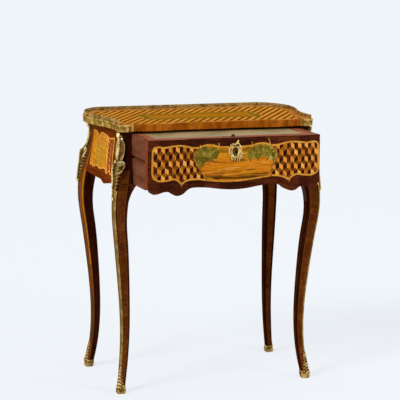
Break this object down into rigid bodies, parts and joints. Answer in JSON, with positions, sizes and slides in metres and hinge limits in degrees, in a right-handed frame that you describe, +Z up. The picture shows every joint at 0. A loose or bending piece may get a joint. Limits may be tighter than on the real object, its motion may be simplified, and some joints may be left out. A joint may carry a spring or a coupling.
{
  "type": "writing table",
  "caption": "Serpentine writing table on cabriole legs, with a shaped apron drawer that pulls out, a leather-lined slide over it, gilt bronze mounts and a low gallery.",
  "frame": {"origin": "on the floor, under the middle of the box round the table with its drawer part open", "axes": "+X to the right as seen from the front, +Y to the back, +Z up; the drawer pulls out along -Y"},
  "size_m": [0.6218, 0.4967, 0.7525],
  "materials": {
    "dark_veneer": "polished veneer",
    "top_parquetry": "polished parquetry",
    "side_marquetry": "polished marquetry",
    "drawer_marquetry": "polished marquetry",
    "drawer_wood": "plain waxed wood",
    "gilt_bronze": "worn gilding",
    "lock_iron": "dull dark iron",
    "writing_leather": "aged leather with tooled lines"
  },
  "bodies": {
    "carcase": {"back_panel": "dark_veneer", "chutes_back": "gilt_bronze", "chutes_front": "gilt_bronze", "closing_stops": "drawer_wood", "edge_band": "gilt_bronze", "end_plate_left": "gilt_bronze", "end_plate_right": "gilt_bronze", "gallery": "gilt_bronze", "leg_back_left": "dark_veneer", "leg_back_right": "dark_veneer", "leg_bracket_left": "dark_veneer", "leg_bracket_right": "dark_veneer", "leg_filets_back": "gilt_bronze", "leg_filets_front": "gilt_bronze", "leg_front_left": "dark_veneer", "leg_front_right": "dark_veneer", "runner_left": "drawer_wood", "runner_right": "drawer_wood", "sabots_back": "gilt_bronze", "sabots_front": "gilt_bronze", "side_panel_left": "side_marquetry", "side_panel_right": "side_marquetry", "strike_plate": "lock_iron", "tabletop": "top_parquetry", "top_tenons": "drawer_wood"},
    "drawer": {"drawer_back": "drawer_wood", "drawer_bottom": "drawer_wood", "drawer_divider": "drawer_wood", "drawer_front": "drawer_marquetry", "drawer_side_left": "drawer_wood", "drawer_side_right": "drawer_wood", "escutcheon": "gilt_bronze", "lock_case": "lock_iron", "slide_rail_left": "drawer_wood", "slide_rail_right": "drawer_wood"},
    "writing_slide": {"slide_frame": "dark_veneer", "slide_leather": "writing_leather"},
    "lock_bolt": {"lock_bolt": "lock_iron"}
  },
  "joints": [
    {"name": "drawer_slide", "type": "slide", "parent": "carcase", "child": "drawer", "axis": [0, -1, 0], "range_m": [-0.148, 0.065]},
    {"name": "writing_slide_travel", "type": "slide", "parent": "drawer", "child": "writing_slide", "axis": [0, 1, 0], "range_m": [0, 0.065]},
    {"name": "lock_bolt_throw", "type": "slide", "parent": "drawer", "child": "lock_bolt", "axis": [0, 0, 1], "range_m": [-0.006, 0.011]}
  ]
}
